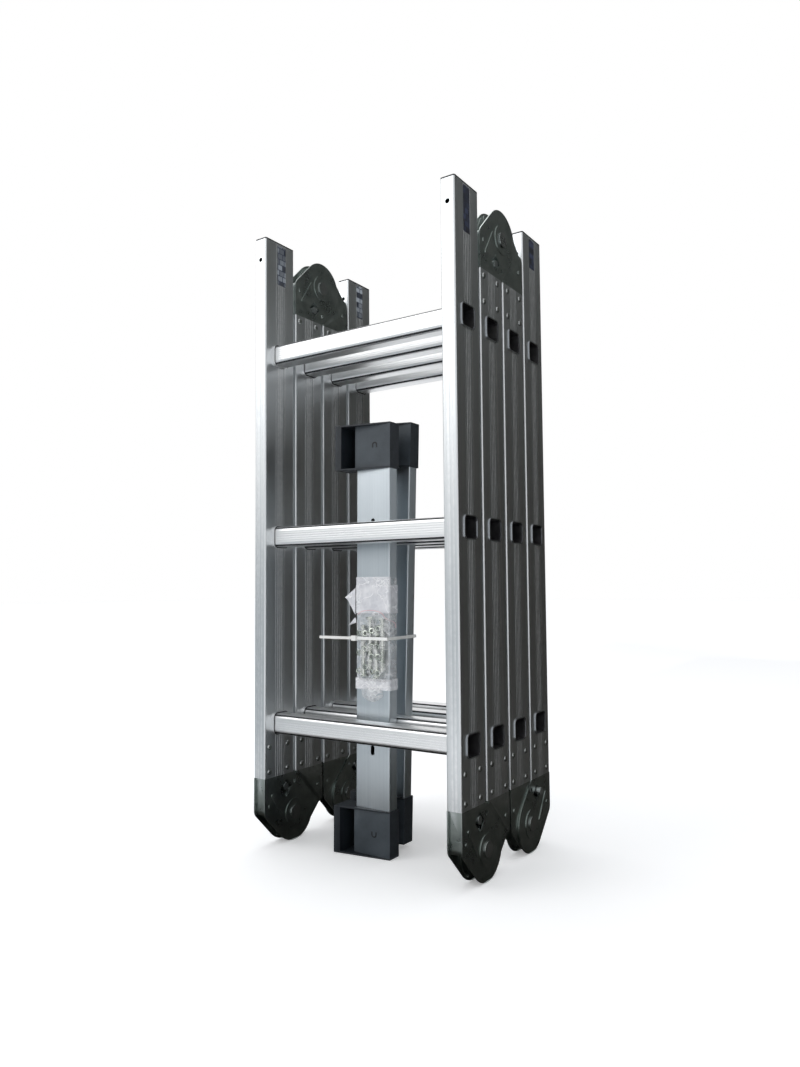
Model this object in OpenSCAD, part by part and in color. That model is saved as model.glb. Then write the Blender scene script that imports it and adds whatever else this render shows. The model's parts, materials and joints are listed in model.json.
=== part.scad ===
// Multi position ladder: four hinged sections folded flat against each other, with its two stabiliser
// bars stored between them. Millimetres, +Z up, X across the ladder, section 1 at -Y.
// It stands on Z = 0 with its middle on the Z axis.

/* [Ladder] */
// Width over the stiles
ladder_w = 354; // [280:1:460]
// Distance from one rung to the next
rung_pitch = 280; // [250:5:320]
// Gap between two folded sections
fold_gap = 5; // [3:0.5:12]
// Height of a free stile end above the top hinge's pivot
free_end = 39; // [35:1:60]

/* [Stiles] */
// Depth of a stile, front to back
stile_d = 64; // [60:1:76]
// Width of a stile, across the ladder
stile_w = 22; // [20:1:30]
// Wall of the stile's tube
stile_wall = 1.5; // [1.2:0.1:2]

/* [Rungs] */
// Width of the square rung tube
rung_w = 30; // [24:1:34]
// Wall of the rung tube
rung_wall = 1.6; // [1.2:0.1:2.5]
// Corner radius of the rung tube
rung_r = 7; // [4:0.5:9]

/* [Hinges] */
// Radius of a hinge's head
head_r = 42; // [40:1:44]
// Thickness of a hinge plate
plate_t = 2; // [1.6:0.1:2.4]
// Radius of the pivot rivet
pivot_r = 7; // [5:0.5:9]
// Radial clearance of the pivot in the inner leaf
pivot_play = 0.05; // [0.01:0.01:0.1]
// Radius of the lock pin
lock_r = 5.5; // [4.5:0.1:5.8]
// Travel of the lock pin from released to locked
lock_travel = 6; // [4:0.5:6.5]

/* [Stabiliser bars] */
// Length of a bar over its shoes
bar_len = 625; // [560:1:700]
// Width of the bar's tube
bar_w = 59; // [50:1:62]
// Depth of the bar's tube
bar_d = 19.5; // [16:0.5:21]
// Wall of the bar's tube
bar_wall = 1.4; // [1.2:0.1:2]
// Sideways lean of the front bar, in degrees
front_lean = 0.5; // [0:0.1:1]
// Sideways lean of the rear bar, in degrees
rear_lean = 1.7; // [0:0.1:2]

/* [Hidden] */
$fn = 48;
rung_count = 3;
SIDES = ["left", "right"];

// Places of the sections and hinges
pitch = stile_d + fold_gap;
stile_x = ladder_w / 2 - stile_w / 2;
pivot_low = head_r;
pivot_high = head_r + rung_count * rung_pitch;
stile_cut = 61;
rung_first = pivot_low + rung_pitch / 2;
function section_y(s) = (s - 2.5) * pitch;
function hinge_y(h) = (h - 2) * pitch;
function rung_z(k) = rung_first + (k - 1) * rung_pitch;
function side_sign(side) = side == "left" ? -1 : 1;
// A section's stile runs from its hinge at the bottom up to either a free end or the top hinge
function stile_top(s) = (s == 1 || s == 4) ? pivot_high + free_end : pivot_high - stile_cut;
stile_bottom = pivot_low + stile_cut;

// Hinge layout, in a leaf's own plane: u from the pivot towards the leaf's stile, v along that stile
slot_angle = 26;
slot_dist = head_r + 2;
slot_half = 12.5;
lock_start = slot_dist + lock_travel / 2;
stile_near = fold_gap / 2;
stile_far = fold_gap / 2 + stile_d;
cheek_r = 14;
web_low = 17;
inner_disc_r = head_r - 3;
side_play = 0.3;
// The shanks in a stile tube end at its nearest rung
shank_end = (rung_pitch - rung_w) / 2;
outer_edge = head_r * sqrt(2);
joggle_start = outer_edge + 3;
joggle_end = joggle_start + 7;
lock_stops = [0, 45, 115, 150, 180];
rivet_v = [70, 106.5];
rivet_u = [16.5, 56.5];
rivet_r = 2.4;
rivet_play = 0.1;
boss_r = 21;
boss_rise = 1;
pivot_head = 1.8;
rib_at = [38.5, 16.5];
rib_len = 46;
rib_turn = 57;
outer_dimple = [55, 19];
inner_dimple = [56, 30];
dimple_r = 3.4;
leaf_hole = [1, 47];

// Stabiliser bars
bar_gap = 0.4;
front_bar_y = section_y(2) - rung_w / 2 - bar_gap - bar_d / 2;
front_bar_x = -8;
rear_bar_y = section_y(2) + rung_w / 2 + bar_gap + bar_d / 2;
rear_bar_x = -17.5;
rear_bar_lift = 8;
slot_z = 150;
slot_len = 14;
bar_hole_r = 3.3;
bolt_below_top = 32;
shoe_h = 67;
shoe_wall = 1.6;
shoe_play = 0.2;
shoe_reach = 27;
shoe_toe = 14;
shoe_foot_wall = 10;
shoe_flange = 2.2;
shoe_d = bar_d + 2 * (shoe_wall + shoe_play);
bag_z = 242;
bag_h = 156;
bag_side = 1.5;
bag_w = bar_w - 2 * bag_side;
bag_x = front_bar_x + (bag_z + bag_h / 2) * sin(front_lean);
bag_d = 12;
bag_film = 0.6;
bag_r = 5;
bolt_m = 6;
bolt_len = 76;
bolt_pitch = 12.5;
tie_z = 309;
tie_wide = 4.5;
tie_t = 1.2;
tie_tail = 61;
bag_y = front_bar_y - bar_d / 2 - bag_d / 2;

// ---------- shared shapes ----------

// Rectangle with round corners, centred
module rounded(w, d, r) {
    square([w - 2 * r, d], center = true);
    square([w, d - 2 * r], center = true);
    for (x = [-1, 1], y = [-1, 1]) {
        translate([x * (w / 2 - r), y * (d / 2 - r)]) circle(r, $fn = 32);
    }
}

// Turns a flat shape drawn in (u, v) so that u is Y and v is Z, and makes it thick along X from x0 to x1
module along_x(x0, x1) {
    translate([x0, 0, 0]) rotate([90, 0, 90]) linear_extrude(x1 - x0) children();
}

// Puts a leaf, drawn with its stile at +Y and +Z of the pivot, on hinge h and section s
module on_hinge(h, s, side) {
    towards = (s == h) ? 1 : 0;
    upside = (h == 2) ? 1 : 0;
    translate([side_sign(side) * stile_x, hinge_y(h), upside ? pivot_high : pivot_low])
        mirror([side == "left" ? 1 : 0, 0, 0]) mirror([0, towards, 0]) mirror([0, 0, upside]) children();
}

// ---------- stiles and rungs ----------

module stile_profile() {
    grooves = [-9, -4.5, 0, 4.5, 9];
    difference() {
        rounded(stile_w, stile_d, 2.5);
        rounded(stile_w - 2 * stile_wall, stile_d - 2 * stile_wall, 1.2);
        for (y = grooves, x = [-1, 1]) {
            translate([x * stile_w / 2, y]) square([0.9, 1], center = true);
        }
        for (x = [-5, 0, 5], y = [-1, 1]) {
            translate([x, y * stile_d / 2]) square([0.8, 0.6], center = true);
        }
    }
}

module rung_outline(grow = 0) {
    rounded(rung_w + 2 * grow, rung_w + 2 * grow, rung_r + grow);
}

// Holes for the shank rivets of one stile end, at rivet_v above the pivot
module rivet_holes() {
    for (u = rivet_u, v = rivet_v) {
        translate([-stile_w, u, v]) rotate([0, 90, 0]) cylinder(r = rivet_r + rivet_play, h = 2 * stile_w);
    }
}

module stile(s, side) {
    free = (s == 1 || s == 4);
    color("silver") difference() {
        translate([side_sign(side) * stile_x, section_y(s), stile_bottom])
            linear_extrude(stile_top(s) - stile_bottom) stile_profile();
        for (k = [1:rung_count]) {
            translate([side_sign(side) * stile_x, section_y(s), rung_z(k)])
                along_x(-stile_w, stile_w) rung_outline(0.1);
        }
        on_hinge(s < 3 ? 1 : 3, s, side) rivet_holes();
        if (!free) on_hinge(2, s, side) rivet_holes();
        if (free) {
            // Hole for a stabiliser bar's bolt, through the front and back walls
            translate([side_sign(side) * stile_x, section_y(s) - stile_d, stile_top(s) - bolt_below_top])
                rotate([-90, 0, 0]) cylinder(r = bar_hole_r, h = 2 * stile_d);
        }
    }
}

module rung(s, k) {
    half = ladder_w / 2 + 1.5;
    inside = ladder_w / 2 - stile_w;
    color("gainsboro") translate([0, section_y(s), rung_z(k)]) difference() {
        union() {
            along_x(-half, half) rung_outline();
            for (x = [-1, 1]) {
                // Flared lip on the stile's outer face, and the swaged collar on its inner face
                along_x(x * (half - 0.75) - 0.75, x * (half - 0.75) + 0.75) rounded(36, 32, rung_r);
                along_x(x * (inside - 1.75) - 1.75, x * (inside - 1.75) + 1.75) rung_outline(1.6);
            }
        }
        bore = rung_w - 2 * rung_wall;
        along_x(-half - 1, half + 1) rounded(bore, bore, rung_r - rung_wall);
        // The lip is dished where the tube's end was flared
        for (x = [-1, 1]) along_x(x * half - 1, x * half + 1) rounded(33.4, 29.4, rung_r - 1.3);
        // Grip grooves along the front, back and top
        for (g = [-2:2], y = [-1, 1]) {
            translate([-inside + 6, y * rung_w / 2 - 0.4, g * 3.2 - 0.6]) cube([2 * inside - 12, 0.8, 1.2]);
        }
        for (g = [-1, 1]) {
            translate([-inside + 6, g * 6 - 0.5, rung_w / 2 - 0.4]) cube([2 * inside - 12, 1, 0.8]);
        }
    }
}

module end_plugs(s) {
    color("dimgray") for (side = SIDES) {
        translate([side_sign(side) * stile_x, section_y(s), stile_top(s)]) {
            linear_extrude(2) rounded(stile_w, stile_d, 2.5);
            translate([0, 0, -14]) linear_extrude(14.5) difference() {
                rounded(stile_w - 2 * stile_wall - 0.2, stile_d - 2 * stile_wall - 0.2, 1.1);
                rounded(stile_w - 2 * stile_wall - 4, stile_d - 2 * stile_wall - 4, 1.1);
            }
        }
    }
}

// ---------- hinges ----------

// The leaf beyond its head: from the stile's cut down to a rounded corner, then a straight edge at 45 degrees
// that runs on to the head
module leaf_cheek() {
    r = cheek_r;
    corner = stile_far - r - outer_edge + r * sqrt(2);
    polygon(concat(
        [[0, 0], [stile_near, stile_cut], [stile_far, stile_cut]],
        [for (a = [0:-5:-45]) [stile_far - r + r * cos(a), corner + r * sin(a)]],
        [[outer_edge / 2, -outer_edge / 2]]
    ));
}

// Head disc and cheek, with a straight edge from the head up to the stile's end on the other side
module outer_outline() {
    circle(head_r, $fn = 96);
    leaf_cheek();
    polygon([
        [0, 0],
        [stile_near, stile_cut],
        [stile_cut - outer_edge, stile_cut],
        [-outer_edge / 2, outer_edge / 2]
    ]);
}

module slot_hole() {
    translate([slot_dist * sin(slot_angle), slot_dist * cos(slot_angle)])
        rotate(45) square(slot_half * sqrt(2), center = true);
}

// A bent sheet that fills the leaf's plane: at x from near to near + plate_t by the head, and further out
// beyond the joggle, which runs across at 45 degrees
module joggled_sheet(near, far) {
    before = joggle_start / sqrt(2);
    after = joggle_end / sqrt(2);
    rotate([45, 0, 0]) linear_extrude(240, center = true) polygon([
        [near, -90],
        [near, before],
        [far, after],
        [far, 90],
        [far + plate_t, 90],
        [far + plate_t, after],
        [near + plate_t, before],
        [near + plate_t, -90]
    ]);
}

// The two shanks in the stile tube and the shoulders that join them to the plates outside
module shanks() {
    for (x = [0, 1]) mirror([x, 0, 0]) {
        out = stile_w / 2 - stile_wall - 0.1;
        along_x(out - plate_t, out) translate([stile_near + 2.5, stile_cut - 4])
            square([stile_d - 5, shank_end - stile_cut + 4]);
        along_x(out - plate_t, stile_w / 2) translate([stile_near + 2.5, stile_cut - 4])
            square([stile_d - 5, 4]);
    }
}

module outer_leaf(h, side) {
    s = (h == 3) ? 4 : h;
    half = stile_w / 2;
    web_in = 3.5;
    color("darkslategray") on_hinge(h, s, side) difference() {
        union() {
            for (x = [0, 1]) mirror([x, 0, 0]) {
                along_x(half - plate_t, half) outer_outline();
                // Raised boss round the pivot, and the straight stiffening rib
                along_x(half - 0.5, half + boss_rise) circle(boss_r);
                along_x(half - 0.5, half + 0.9) translate(rib_at) rotate(rib_turn) rounded(rib_len, 5, 2.4);
                along_x(half - 0.5, half + 0.8) translate(outer_dimple) circle(dimple_r);
            }
            shanks();
            // Front web between the plates, ending in a rounded nose
            along_x(-half + plate_t - 0.1, half - plate_t + 0.1) union() {
                translate([stile_far - web_in - 2, web_low + 6]) square([2, stile_cut + 3 - web_low]);
                translate([stile_far - web_in - 6, web_low + 6]) intersection() {
                    difference() {
                        circle(6);
                        circle(4);
                    }
                    translate([0, -6]) square([6, 6.1]);
                }
                translate([stile_far - web_in - 12, web_low]) square([6.2, 2]);
            }
        }
        // The lock pin's slot, a small hole beside it, the pivot's bore and the rivets' holes
        along_x(-40, 40) slot_hole();
        along_x(-40, 40) translate(leaf_hole) circle(3.2);
        along_x(-40, 40) circle(pivot_r + pivot_play);
        rivet_holes();
    }
}

module inner_leaf(h, side) {
    s = (h == 3) ? 3 : h + 1;
    half = stile_w / 2;
    inner = half - plate_t - side_play;
    color("darkslategray") on_hinge(h, s, side) difference() {
        union() {
            for (x = [0, 1]) mirror([x, 0, 0]) {
                intersection() {
                    along_x(inner - plate_t - 0.1, half + 0.1) union() {
                        circle(inner_disc_r, $fn = 96);
                        leaf_cheek();
                    }
                    joggled_sheet(inner - plate_t, half - plate_t);
                }
                along_x(half - 0.5, half + 0.9) translate(inner_dimple) circle(dimple_r);
            }
            along_x(-inner + plate_t - 0.5, inner - plate_t + 0.5) circle(16);
            shanks();
        }
        along_x(-40, 40) circle(pivot_r + pivot_play);
        // Lock notches: the outer leaf's pin drops into one of these at each locked angle
        for (stop = lock_stops) {
            along_x(-40, 40) rotate(stop + slot_angle)
                translate([0, lock_start - lock_travel]) {
                circle(lock_r + 0.5);
                translate([-lock_r - 0.5, 0]) square([2 * lock_r + 1, 12]);
            }
        }
        rivet_holes();
    }
}

module pivot_rivets(h) {
    half = stile_w / 2 + boss_rise;
    color("gray") for (side = SIDES) on_hinge(h, h == 3 ? 4 : h, side) rotate([0, 90, 0]) {
        translate([0, 0, -half - 0.1]) cylinder(r = pivot_r, h = 2 * half + 0.2);
        for (x = [-1, 1]) {
            translate([0, 0, x * (half + pivot_head / 2)]) cylinder(r = 11, h = pivot_head, center = true);
        }
    }
}

module lock_pin(h, side) {
    s = (h == 3) ? 4 : h;
    out = (h == 3) ? 7 : 1;
    color("slategray") on_hinge(h, s, side)
        translate([-stile_w / 2 - 1, lock_start * sin(slot_angle), lock_start * cos(slot_angle)])
            rotate([0, 90, 0]) cylinder(r = lock_r, h = stile_w + 1 + out);
}

// Bent strip that bears on the pin's outer side, with its tail flat on the front web
module lock_springs(h) {
    s = (h == 3) ? 4 : h;
    reach = lock_start + lock_r + 0.2;
    tail_u = stile_far - 3.5 - 3;
    color("lightsteelblue") for (side = SIDES) on_hinge(h, s, side) along_x(-5, 5) union() {
        rotate(-slot_angle) translate([-8, reach]) square([26, 1]);
        rotate(-slot_angle) translate([18, reach]) rotate(2 * slot_angle)
            translate([-0.5, 0]) square([24.2, 1]);
        translate([tail_u, 43]) square([1, 14]);
    }
}

module shank_rivets(h, s) {
    for (side = SIDES, u = rivet_u, v = rivet_v)
        on_hinge(h, s, side) translate([0, u, v]) rotate([0, 90, 0]) {
        translate([0, 0, -stile_w / 2 - 0.1]) cylinder(r = rivet_r, h = stile_w + 0.2);
        translate([0, 0, stile_w / 2]) cylinder(r1 = 4.4, r2 = 3, h = 1.4);
        translate([0, 0, -stile_w / 2 - 1.4]) cylinder(r1 = 3, r2 = 4.4, h = 1.4);
    }
}

module hinge_rivets(s) {
    color("silver") {
        shank_rivets(s < 3 ? 1 : 3, s);
        if (s == 2 || s == 3) shank_rivets(2, s);
    }
}

// ---------- stabiliser bars ----------

module on_bar(which) {
    // The outer bottom corner of the leaning shoe is kept on the ground
    drop = (bar_w / 2 + shoe_wall) * sin(front_lean);
    if (which == "front") translate([front_bar_x, front_bar_y, drop]) rotate([0, front_lean, 0]) children();
    if (which == "rear") translate([rear_bar_x, rear_bar_y, rear_bar_lift])
        rotate([0, rear_lean, 0]) children();
}

module bar_tube(which) {
    low = shoe_wall + shoe_play;
    color("lightsteelblue") on_bar(which) difference() {
        translate([0, 0, low]) linear_extrude(bar_len - 2 * low) difference() {
            rounded(bar_w, bar_d, 1.5);
            rounded(bar_w - 2 * bar_wall, bar_d - 2 * bar_wall, 0.6);
        }
        // Slot and hole for the bolts that fix the bar across the stile ends
        translate([0, -bar_d, slot_z + 2 * stile_x]) rotate([-90, 0, 0])
            cylinder(r = bar_hole_r, h = 2 * bar_d);
        translate([0, -bar_d, slot_z]) rotate([-90, 0, 0]) linear_extrude(2 * bar_d) union() {
            square([2 * bar_hole_r, slot_len - 2 * bar_hole_r], center = true);
            for (y = [-1, 1]) translate([0, y * (slot_len / 2 - bar_hole_r)]) circle(bar_hole_r);
        }
    }
}

// Shoe with its closed end at Z = 0: a socket for the tube, and a wedge foot beside it, open in front
module shoe() {
    in_w = bar_w + 2 * shoe_play;
    in_d = bar_d + 2 * shoe_play;
    right = in_w / 2 + shoe_wall;
    left = -right - shoe_reach;
    front = -shoe_d / 2;
    difference() {
        linear_extrude(shoe_h)
            polygon([[right, front], [right, -front], [left, -front], [left, front - shoe_toe]]);
        translate([0, 0, shoe_wall]) linear_extrude(shoe_h) rounded(in_w, in_d, 1.6);
        // The foot's cavity, and the space in front of the socket's panel
        translate([left + shoe_foot_wall, front - 20, shoe_flange])
            cube([-left - right - shoe_foot_wall, shoe_d + 20 - shoe_wall, shoe_h - 2 * shoe_flange]);
        translate([-right - 0.1, front - 20, shoe_flange])
            cube([2 * right + 1, 20, shoe_h - 2 * shoe_flange]);
    }
    // Moulded U mark
    translate([4, front + 0.2, shoe_h / 2]) rotate([90, 0, 0]) linear_extrude(0.7) difference() {
        rounded(9, 12, 4);
        rounded(5.4, 8.4, 2.2);
        translate([-5, 2]) square([10, 6]);
    }
}

module bar_shoe(which, end) {
    color([0.13, 0.14, 0.16]) on_bar(which) {
        if (end == "lower") shoe();
        if (end == "upper") translate([0, 0, bar_len]) mirror([0, 0, 1]) shoe();
    }
}

// ---------- bag, bolts and cable tie ----------

module bolt_bag() {
    color([0.85, 0.88, 0.9, 0.5]) translate([bag_x, bag_y, bag_z + bag_h / 2])
        rotate([90, 0, 0]) difference() {
        translate([0, 0, -bag_d / 2]) linear_extrude(bag_d) rounded(bag_w, bag_h, bag_r);
        translate([0, 0, -bag_d / 2 + bag_film]) linear_extrude(bag_d - 2 * bag_film)
            rounded(bag_w - 2 * bag_film, bag_h - 2 * bag_film, bag_r - bag_film);
    }
}

// One hexagon-head bolt with its nut, along Z from its head
module bolt() {
    cylinder(r = bolt_m / 2, h = bolt_len, $fn = 24);
    cylinder(r = 5.2, h = 4, $fn = 6);
    translate([0, 0, bolt_len - 9]) cylinder(r = 5.2, h = 5, $fn = 6);
}

module bolts() {
    color("darkgray") for (k = [0:3]) {
        translate([bag_x + (k - 1.5) * bolt_pitch, bag_y, bag_z + 10 + 10 * (k % 2)]) bolt();
    }
}

// Strap round both bars, with its head in front and a free tail
module cable_tie() {
    t = tie_t;
    front = bag_y - bag_d / 2 - 0.1;
    back = rear_bar_y + bar_d / 2 + 0.1;
    left = front_bar_x - bar_w / 2 - 1;
    right = front_bar_x + bar_w / 2 + 6.5;
    color("white") translate([0, 0, tie_z]) {
        linear_extrude(tie_wide) difference() {
            polygon([
                [left - t, front - t],
                [right + t, front - t],
                [right + t - 5, back + t],
                [left - t - 2.5, back + t]
            ]);
            polygon([[left, front], [right, front], [right - 5, back], [left - 2.5, back]]);
        }
        translate([left + 6, front - t - 3, -1.5]) cube([8, 3.5, tie_wide + 3]);
        translate([left + 7 - tie_tail, front - t - 2, 0.2]) cube([tie_tail, t, tie_wide - 0.4]);
    }
}

// ---------- nodes ----------

stile(1, "left");  // section_1_left_stile
stile(1, "right");  // section_1_right_stile
stile(2, "left");  // section_2_left_stile
stile(2, "right");  // section_2_right_stile
stile(3, "left");  // section_3_left_stile
stile(3, "right");  // section_3_right_stile
stile(4, "left");  // section_4_left_stile
stile(4, "right");  // section_4_right_stile
rung(1, 1);  // section_1_rung_1
rung(1, 2);  // section_1_rung_2
rung(1, 3);  // section_1_rung_3
rung(2, 1);  // section_2_rung_1
rung(2, 2);  // section_2_rung_2
rung(2, 3);  // section_2_rung_3
rung(3, 1);  // section_3_rung_1
rung(3, 2);  // section_3_rung_2
rung(3, 3);  // section_3_rung_3
rung(4, 1);  // section_4_rung_1
rung(4, 2);  // section_4_rung_2
rung(4, 3);  // section_4_rung_3
outer_leaf(1, "left");  // hinge_12_left_outer_leaf
outer_leaf(1, "right");  // hinge_12_right_outer_leaf
inner_leaf(1, "left");  // hinge_12_left_inner_leaf
inner_leaf(1, "right");  // hinge_12_right_inner_leaf
outer_leaf(2, "left");  // hinge_23_left_outer_leaf
outer_leaf(2, "right");  // hinge_23_right_outer_leaf
inner_leaf(2, "left");  // hinge_23_left_inner_leaf
inner_leaf(2, "right");  // hinge_23_right_inner_leaf
outer_leaf(3, "left");  // hinge_34_left_outer_leaf
outer_leaf(3, "right");  // hinge_34_right_outer_leaf
inner_leaf(3, "left");  // hinge_34_left_inner_leaf
inner_leaf(3, "right");  // hinge_34_right_inner_leaf
pivot_rivets(1);  // hinge_12_pivot_rivets
pivot_rivets(2);  // hinge_23_pivot_rivets
pivot_rivets(3);  // hinge_34_pivot_rivets
lock_pin(1, "left");  // hinge_12_left_lock_pin
lock_pin(1, "right");  // hinge_12_right_lock_pin
lock_pin(2, "left");  // hinge_23_left_lock_pin
lock_pin(2, "right");  // hinge_23_right_lock_pin
lock_pin(3, "left");  // hinge_34_left_lock_pin
lock_pin(3, "right");  // hinge_34_right_lock_pin
lock_springs(1);  // hinge_12_lock_springs
lock_springs(2);  // hinge_23_lock_springs
lock_springs(3);  // hinge_34_lock_springs
hinge_rivets(1);  // section_1_hinge_rivets
hinge_rivets(2);  // section_2_hinge_rivets
hinge_rivets(3);  // section_3_hinge_rivets
hinge_rivets(4);  // section_4_hinge_rivets
end_plugs(1);  // section_1_end_plugs
end_plugs(4);  // section_4_end_plugs
bar_tube("front");  // front_bar_tube
bar_shoe("front", "upper");  // front_bar_upper_shoe
bar_shoe("front", "lower");  // front_bar_lower_shoe
bar_tube("rear");  // rear_bar_tube
bar_shoe("rear", "upper");  // rear_bar_upper_shoe
bar_shoe("rear", "lower");  // rear_bar_lower_shoe
bolt_bag();
bolts();
cable_tie();
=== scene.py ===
"""Multi position ladder, folded and standing on a pale studio floor, with its stabiliser bars tied inside."""
import bpy
import json
from math import cos, exp, pi, radians, sin
from mathutils import Matrix, Vector, noise


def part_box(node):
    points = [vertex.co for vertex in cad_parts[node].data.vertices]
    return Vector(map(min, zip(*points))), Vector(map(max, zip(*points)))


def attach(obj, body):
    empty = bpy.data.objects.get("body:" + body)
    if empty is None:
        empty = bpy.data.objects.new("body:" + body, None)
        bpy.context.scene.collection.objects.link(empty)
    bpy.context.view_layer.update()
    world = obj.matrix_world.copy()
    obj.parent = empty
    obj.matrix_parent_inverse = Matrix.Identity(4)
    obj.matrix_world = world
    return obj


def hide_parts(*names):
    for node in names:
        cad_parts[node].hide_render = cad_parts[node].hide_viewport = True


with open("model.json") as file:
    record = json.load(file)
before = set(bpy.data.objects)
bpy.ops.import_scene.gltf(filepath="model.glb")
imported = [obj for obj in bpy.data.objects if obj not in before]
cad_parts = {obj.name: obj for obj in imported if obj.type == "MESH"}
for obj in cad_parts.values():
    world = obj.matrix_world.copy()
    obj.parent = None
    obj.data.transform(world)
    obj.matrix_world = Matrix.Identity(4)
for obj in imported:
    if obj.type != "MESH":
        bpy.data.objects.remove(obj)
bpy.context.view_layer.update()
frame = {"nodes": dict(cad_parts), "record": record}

# ---------- the camera ----------

# Where the viewer stands, in metres, and how the view is turned: to the left, up and round
EYE = Vector((0.6822, -1.0266, 0.3847))
YAW, PITCH, ROLL = radians(34.0), radians(3.40), radians(-0.42)
LENS = 27.21
SHIFT = (0.0038, 0.0054)


def add_camera():
    """The camera at the eye point, turned by yaw, pitch and roll."""
    ahead = Vector((-sin(YAW) * cos(PITCH), cos(YAW) * cos(PITCH), sin(PITCH)))
    right = Vector((cos(YAW), sin(YAW), 0))
    up = right.cross(ahead)
    across = right * cos(ROLL) + up * sin(ROLL)
    upward = up * cos(ROLL) - right * sin(ROLL)
    bpy.ops.object.camera_add(location=EYE)
    camera = bpy.context.object
    camera.name = "camera"
    camera.rotation_euler = Matrix((across, upward, -ahead)).transposed().to_euler()
    camera.data.lens = LENS
    camera.data.shift_x, camera.data.shift_y = SHIFT
    camera.data.clip_start = 0.01
    bpy.context.scene.camera = camera


add_camera()


# ---------- node groups shared by the materials ----------

def new_group(name, inputs, outputs):
    """A shader node group with its sockets: each of inputs is (name, kind, default)."""
    group = bpy.data.node_groups.new(name, "ShaderNodeTree")
    for label, kind, default in inputs:
        socket = group.interface.new_socket(label, in_out="INPUT", socket_type=kind)
        socket.default_value = default
    for label, kind in outputs:
        group.interface.new_socket(label, in_out="OUTPUT", socket_type=kind)
    group.nodes.new("NodeGroupInput").name = "in"
    group.nodes.new("NodeGroupOutput").name = "out"
    return group


def drawn_lines():
    """Fine lines and softer bands along one direction, as on a drawn or extruded surface."""
    group = new_group(
        "drawn_lines",
        [("Stretch", "NodeSocketVector", (900, 900, 3)), ("Bands", "NodeSocketFloat", 0.35)],
        [("Value", "NodeSocketFloat")],
    )
    n, link = group.nodes, group.links.new
    place = n.new("ShaderNodeTexCoord")
    stretch = n.new("ShaderNodeVectorMath")
    stretch.operation = "MULTIPLY"
    wide = n.new("ShaderNodeVectorMath")
    wide.operation = "SCALE"
    wide.inputs["Scale"].default_value = 0.16
    fine = n.new("ShaderNodeTexNoise")
    fine.inputs["Scale"].default_value = 1.0
    fine.inputs["Detail"].default_value = 3.0
    band = n.new("ShaderNodeTexNoise")
    band.inputs["Scale"].default_value = 1.0
    band.inputs["Detail"].default_value = 1.0
    mix = n.new("ShaderNodeMix")
    link(place.outputs["Object"], stretch.inputs[0])
    link(n["in"].outputs["Stretch"], stretch.inputs[1])
    link(stretch.outputs[0], fine.inputs["Vector"])
    link(stretch.outputs[0], wide.inputs[0])
    link(wide.outputs[0], band.inputs["Vector"])
    link(n["in"].outputs["Bands"], mix.inputs["Factor"])
    link(fine.outputs["Fac"], mix.inputs["A"])
    link(band.outputs["Fac"], mix.inputs["B"])
    link(mix.outputs["Result"], n["out"].inputs["Value"])
    return group


def surface_wear():
    """Worn edges, and smudges over the faces: two masks from 0 to 1."""
    group = new_group(
        "surface_wear",
        [("Edge", "NodeSocketFloat", 0.55), ("Smudge Scale", "NodeSocketFloat", 14.0)],
        [("Edges", "NodeSocketFloat"), ("Smudges", "NodeSocketFloat")],
    )
    n, link = group.nodes, group.links.new
    place = n.new("ShaderNodeTexCoord")
    shape = n.new("ShaderNodeNewGeometry")
    sharp = n.new("ShaderNodeMapRange")
    sharp.inputs["From Max"].default_value = 0.62
    sharp.clamp = True
    patchy = n.new("ShaderNodeTexNoise")
    patchy.inputs["Scale"].default_value = 160.0
    patchy.inputs["Detail"].default_value = 4.0
    both = n.new("ShaderNodeMath")
    both.operation = "MULTIPLY"
    both.use_clamp = True
    smudge = n.new("ShaderNodeTexNoise")
    smudge.inputs["Detail"].default_value = 5.0
    smudge.inputs["Roughness"].default_value = 0.62
    spread = n.new("ShaderNodeMapRange")
    spread.inputs["From Min"].default_value = 0.35
    spread.inputs["From Max"].default_value = 0.7
    spread.clamp = True
    link(shape.outputs["Pointiness"], sharp.inputs["Value"])
    link(n["in"].outputs["Edge"], sharp.inputs["From Min"])
    link(place.outputs["Object"], patchy.inputs["Vector"])
    link(sharp.outputs["Result"], both.inputs[0])
    link(patchy.outputs["Fac"], both.inputs[1])
    link(both.outputs[0], n["out"].inputs["Edges"])
    link(place.outputs["Object"], smudge.inputs["Vector"])
    link(n["in"].outputs["Smudge Scale"], smudge.inputs["Scale"])
    link(smudge.outputs["Fac"], spread.inputs["Value"])
    link(spread.outputs["Result"], n["out"].inputs["Smudges"])
    return group


def moulded_grain():
    """Fine even grain of a moulded or plated surface, from 0 to 1."""
    group = new_group(
        "moulded_grain",
        [("Scale", "NodeSocketFloat", 900.0)],
        [("Value", "NodeSocketFloat")],
    )
    n, link = group.nodes, group.links.new
    place = n.new("ShaderNodeTexCoord")
    grain = n.new("ShaderNodeTexNoise")
    grain.inputs["Detail"].default_value = 2.0
    link(place.outputs["Object"], grain.inputs["Vector"])
    link(n["in"].outputs["Scale"], grain.inputs["Scale"])
    link(grain.outputs["Fac"], n["out"].inputs["Value"])
    return group


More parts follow.
